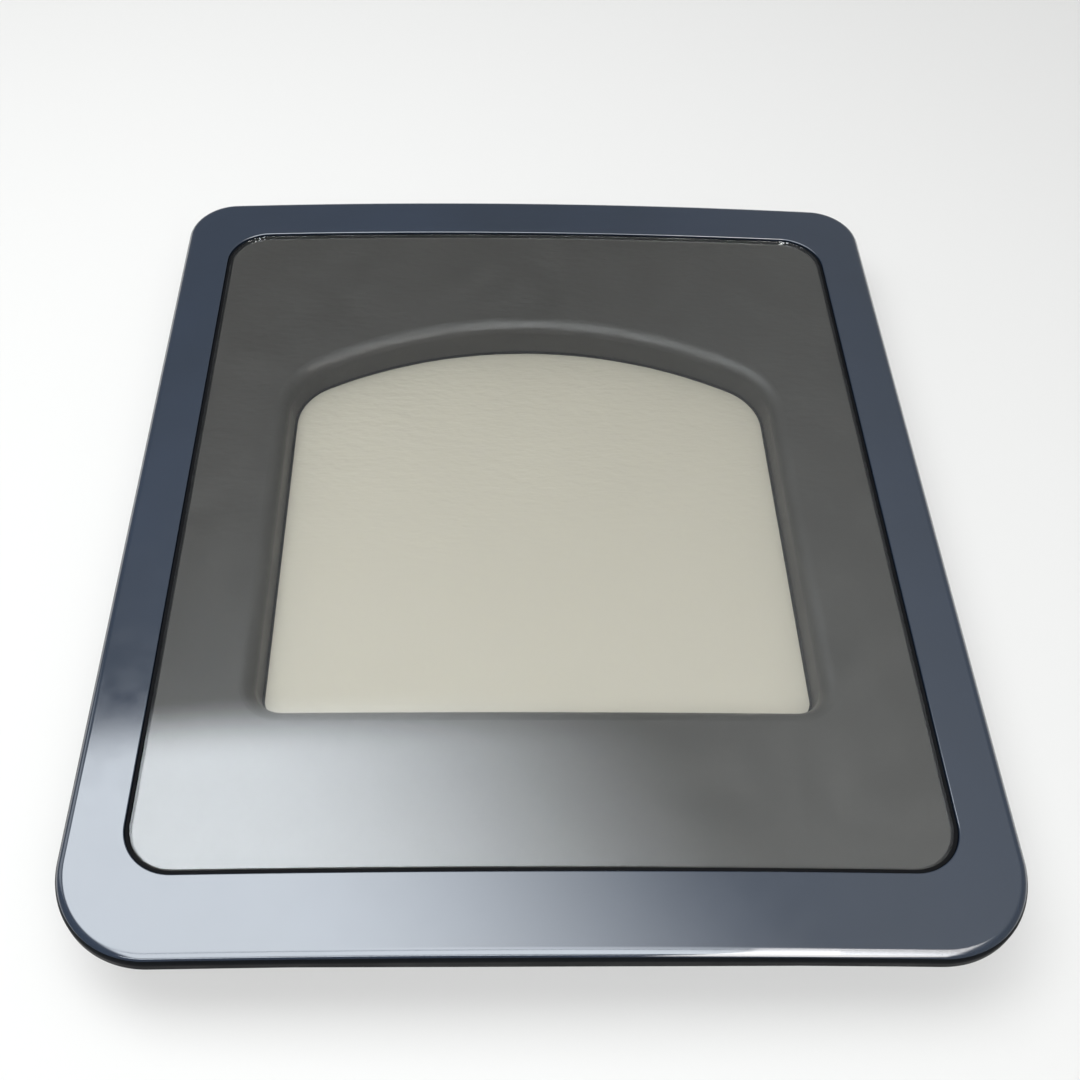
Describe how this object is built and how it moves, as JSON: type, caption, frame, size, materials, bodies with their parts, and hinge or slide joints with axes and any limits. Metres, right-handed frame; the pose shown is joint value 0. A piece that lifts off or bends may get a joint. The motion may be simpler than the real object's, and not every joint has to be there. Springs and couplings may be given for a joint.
{
  "type": "dryer door",
  "caption": "Crowned dryer door with a glossy rounded frame, outer glass, grey surround with an arched window recess, rear plug and seal, strike and side hinges.",
  "frame": {"origin": "middle of the door's plan, on the plane of the plug's rim that it lies on", "axes": "+X towards the hinge side, +Y towards the top edge, +Z out of the front face"},
  "size_m": [0.57, 0.664, 0.064],
  "materials": {
    "frame_gloss": "glossy dark blue",
    "outer_glass": "clear toughened glass",
    "inner_glass": "satin toughened glass",
    "black_rubber": "black rubber",
    "seal_rubber": "dark grey rubber",
    "surround_grey": "fine-grained dark grey",
    "shell_grey": "fine-grained light grey",
    "grip_black": "fine-grained black",
    "zinc_steel": "zinc-plated sheet",
    "zinc_screws": "zinc-plated"
  },
  "bodies": {
    "door": {"outer_frame": "frame_gloss", "outer_glass": "outer_glass", "glass_gasket": "black_rubber", "window_surround": "surround_grey", "inner_glass": "inner_glass", "inner_glass_seal": "black_rubber", "glass_retainer": "shell_grey", "retainer_screws": "zinc_screws", "rear_panel": "shell_grey", "plug": "shell_grey", "plug_screws": "zinc_screws", "frame_screws": "zinc_screws", "door_seal": "seal_rubber", "upper_hinge_bracket": "zinc_steel", "lower_hinge_bracket": "zinc_steel", "upper_hinge_pin": "zinc_steel", "lower_hinge_pin": "zinc_steel", "upper_hinge_blank": "frame_gloss", "lower_hinge_blank": "frame_gloss", "hinge_screws": "zinc_screws", "finger_grip": "grip_black", "strike": "zinc_steel", "strike_backing": "zinc_steel", "strike_screws": "zinc_screws", "strike_plug": "shell_grey", "bumpers": "black_rubber"},
    "upper_leaf": {"upper_hinge_leaf": "zinc_steel"},
    "lower_leaf": {"lower_hinge_leaf": "zinc_steel"}
  },
  "joints": [
    {"name": "upper_hinge", "type": "hinge", "parent": "door", "child": "upper_leaf", "pos_m": [0.276, 0.186, 0.036], "axis": [0, -1, 0], "range_deg": [0, 110]},
    {"name": "lower_hinge", "type": "hinge", "parent": "door", "child": "lower_leaf", "pos_m": [0.276, -0.186, 0.036], "axis": [0, -1, 0], "range_deg": [0, 110]}
  ]
}
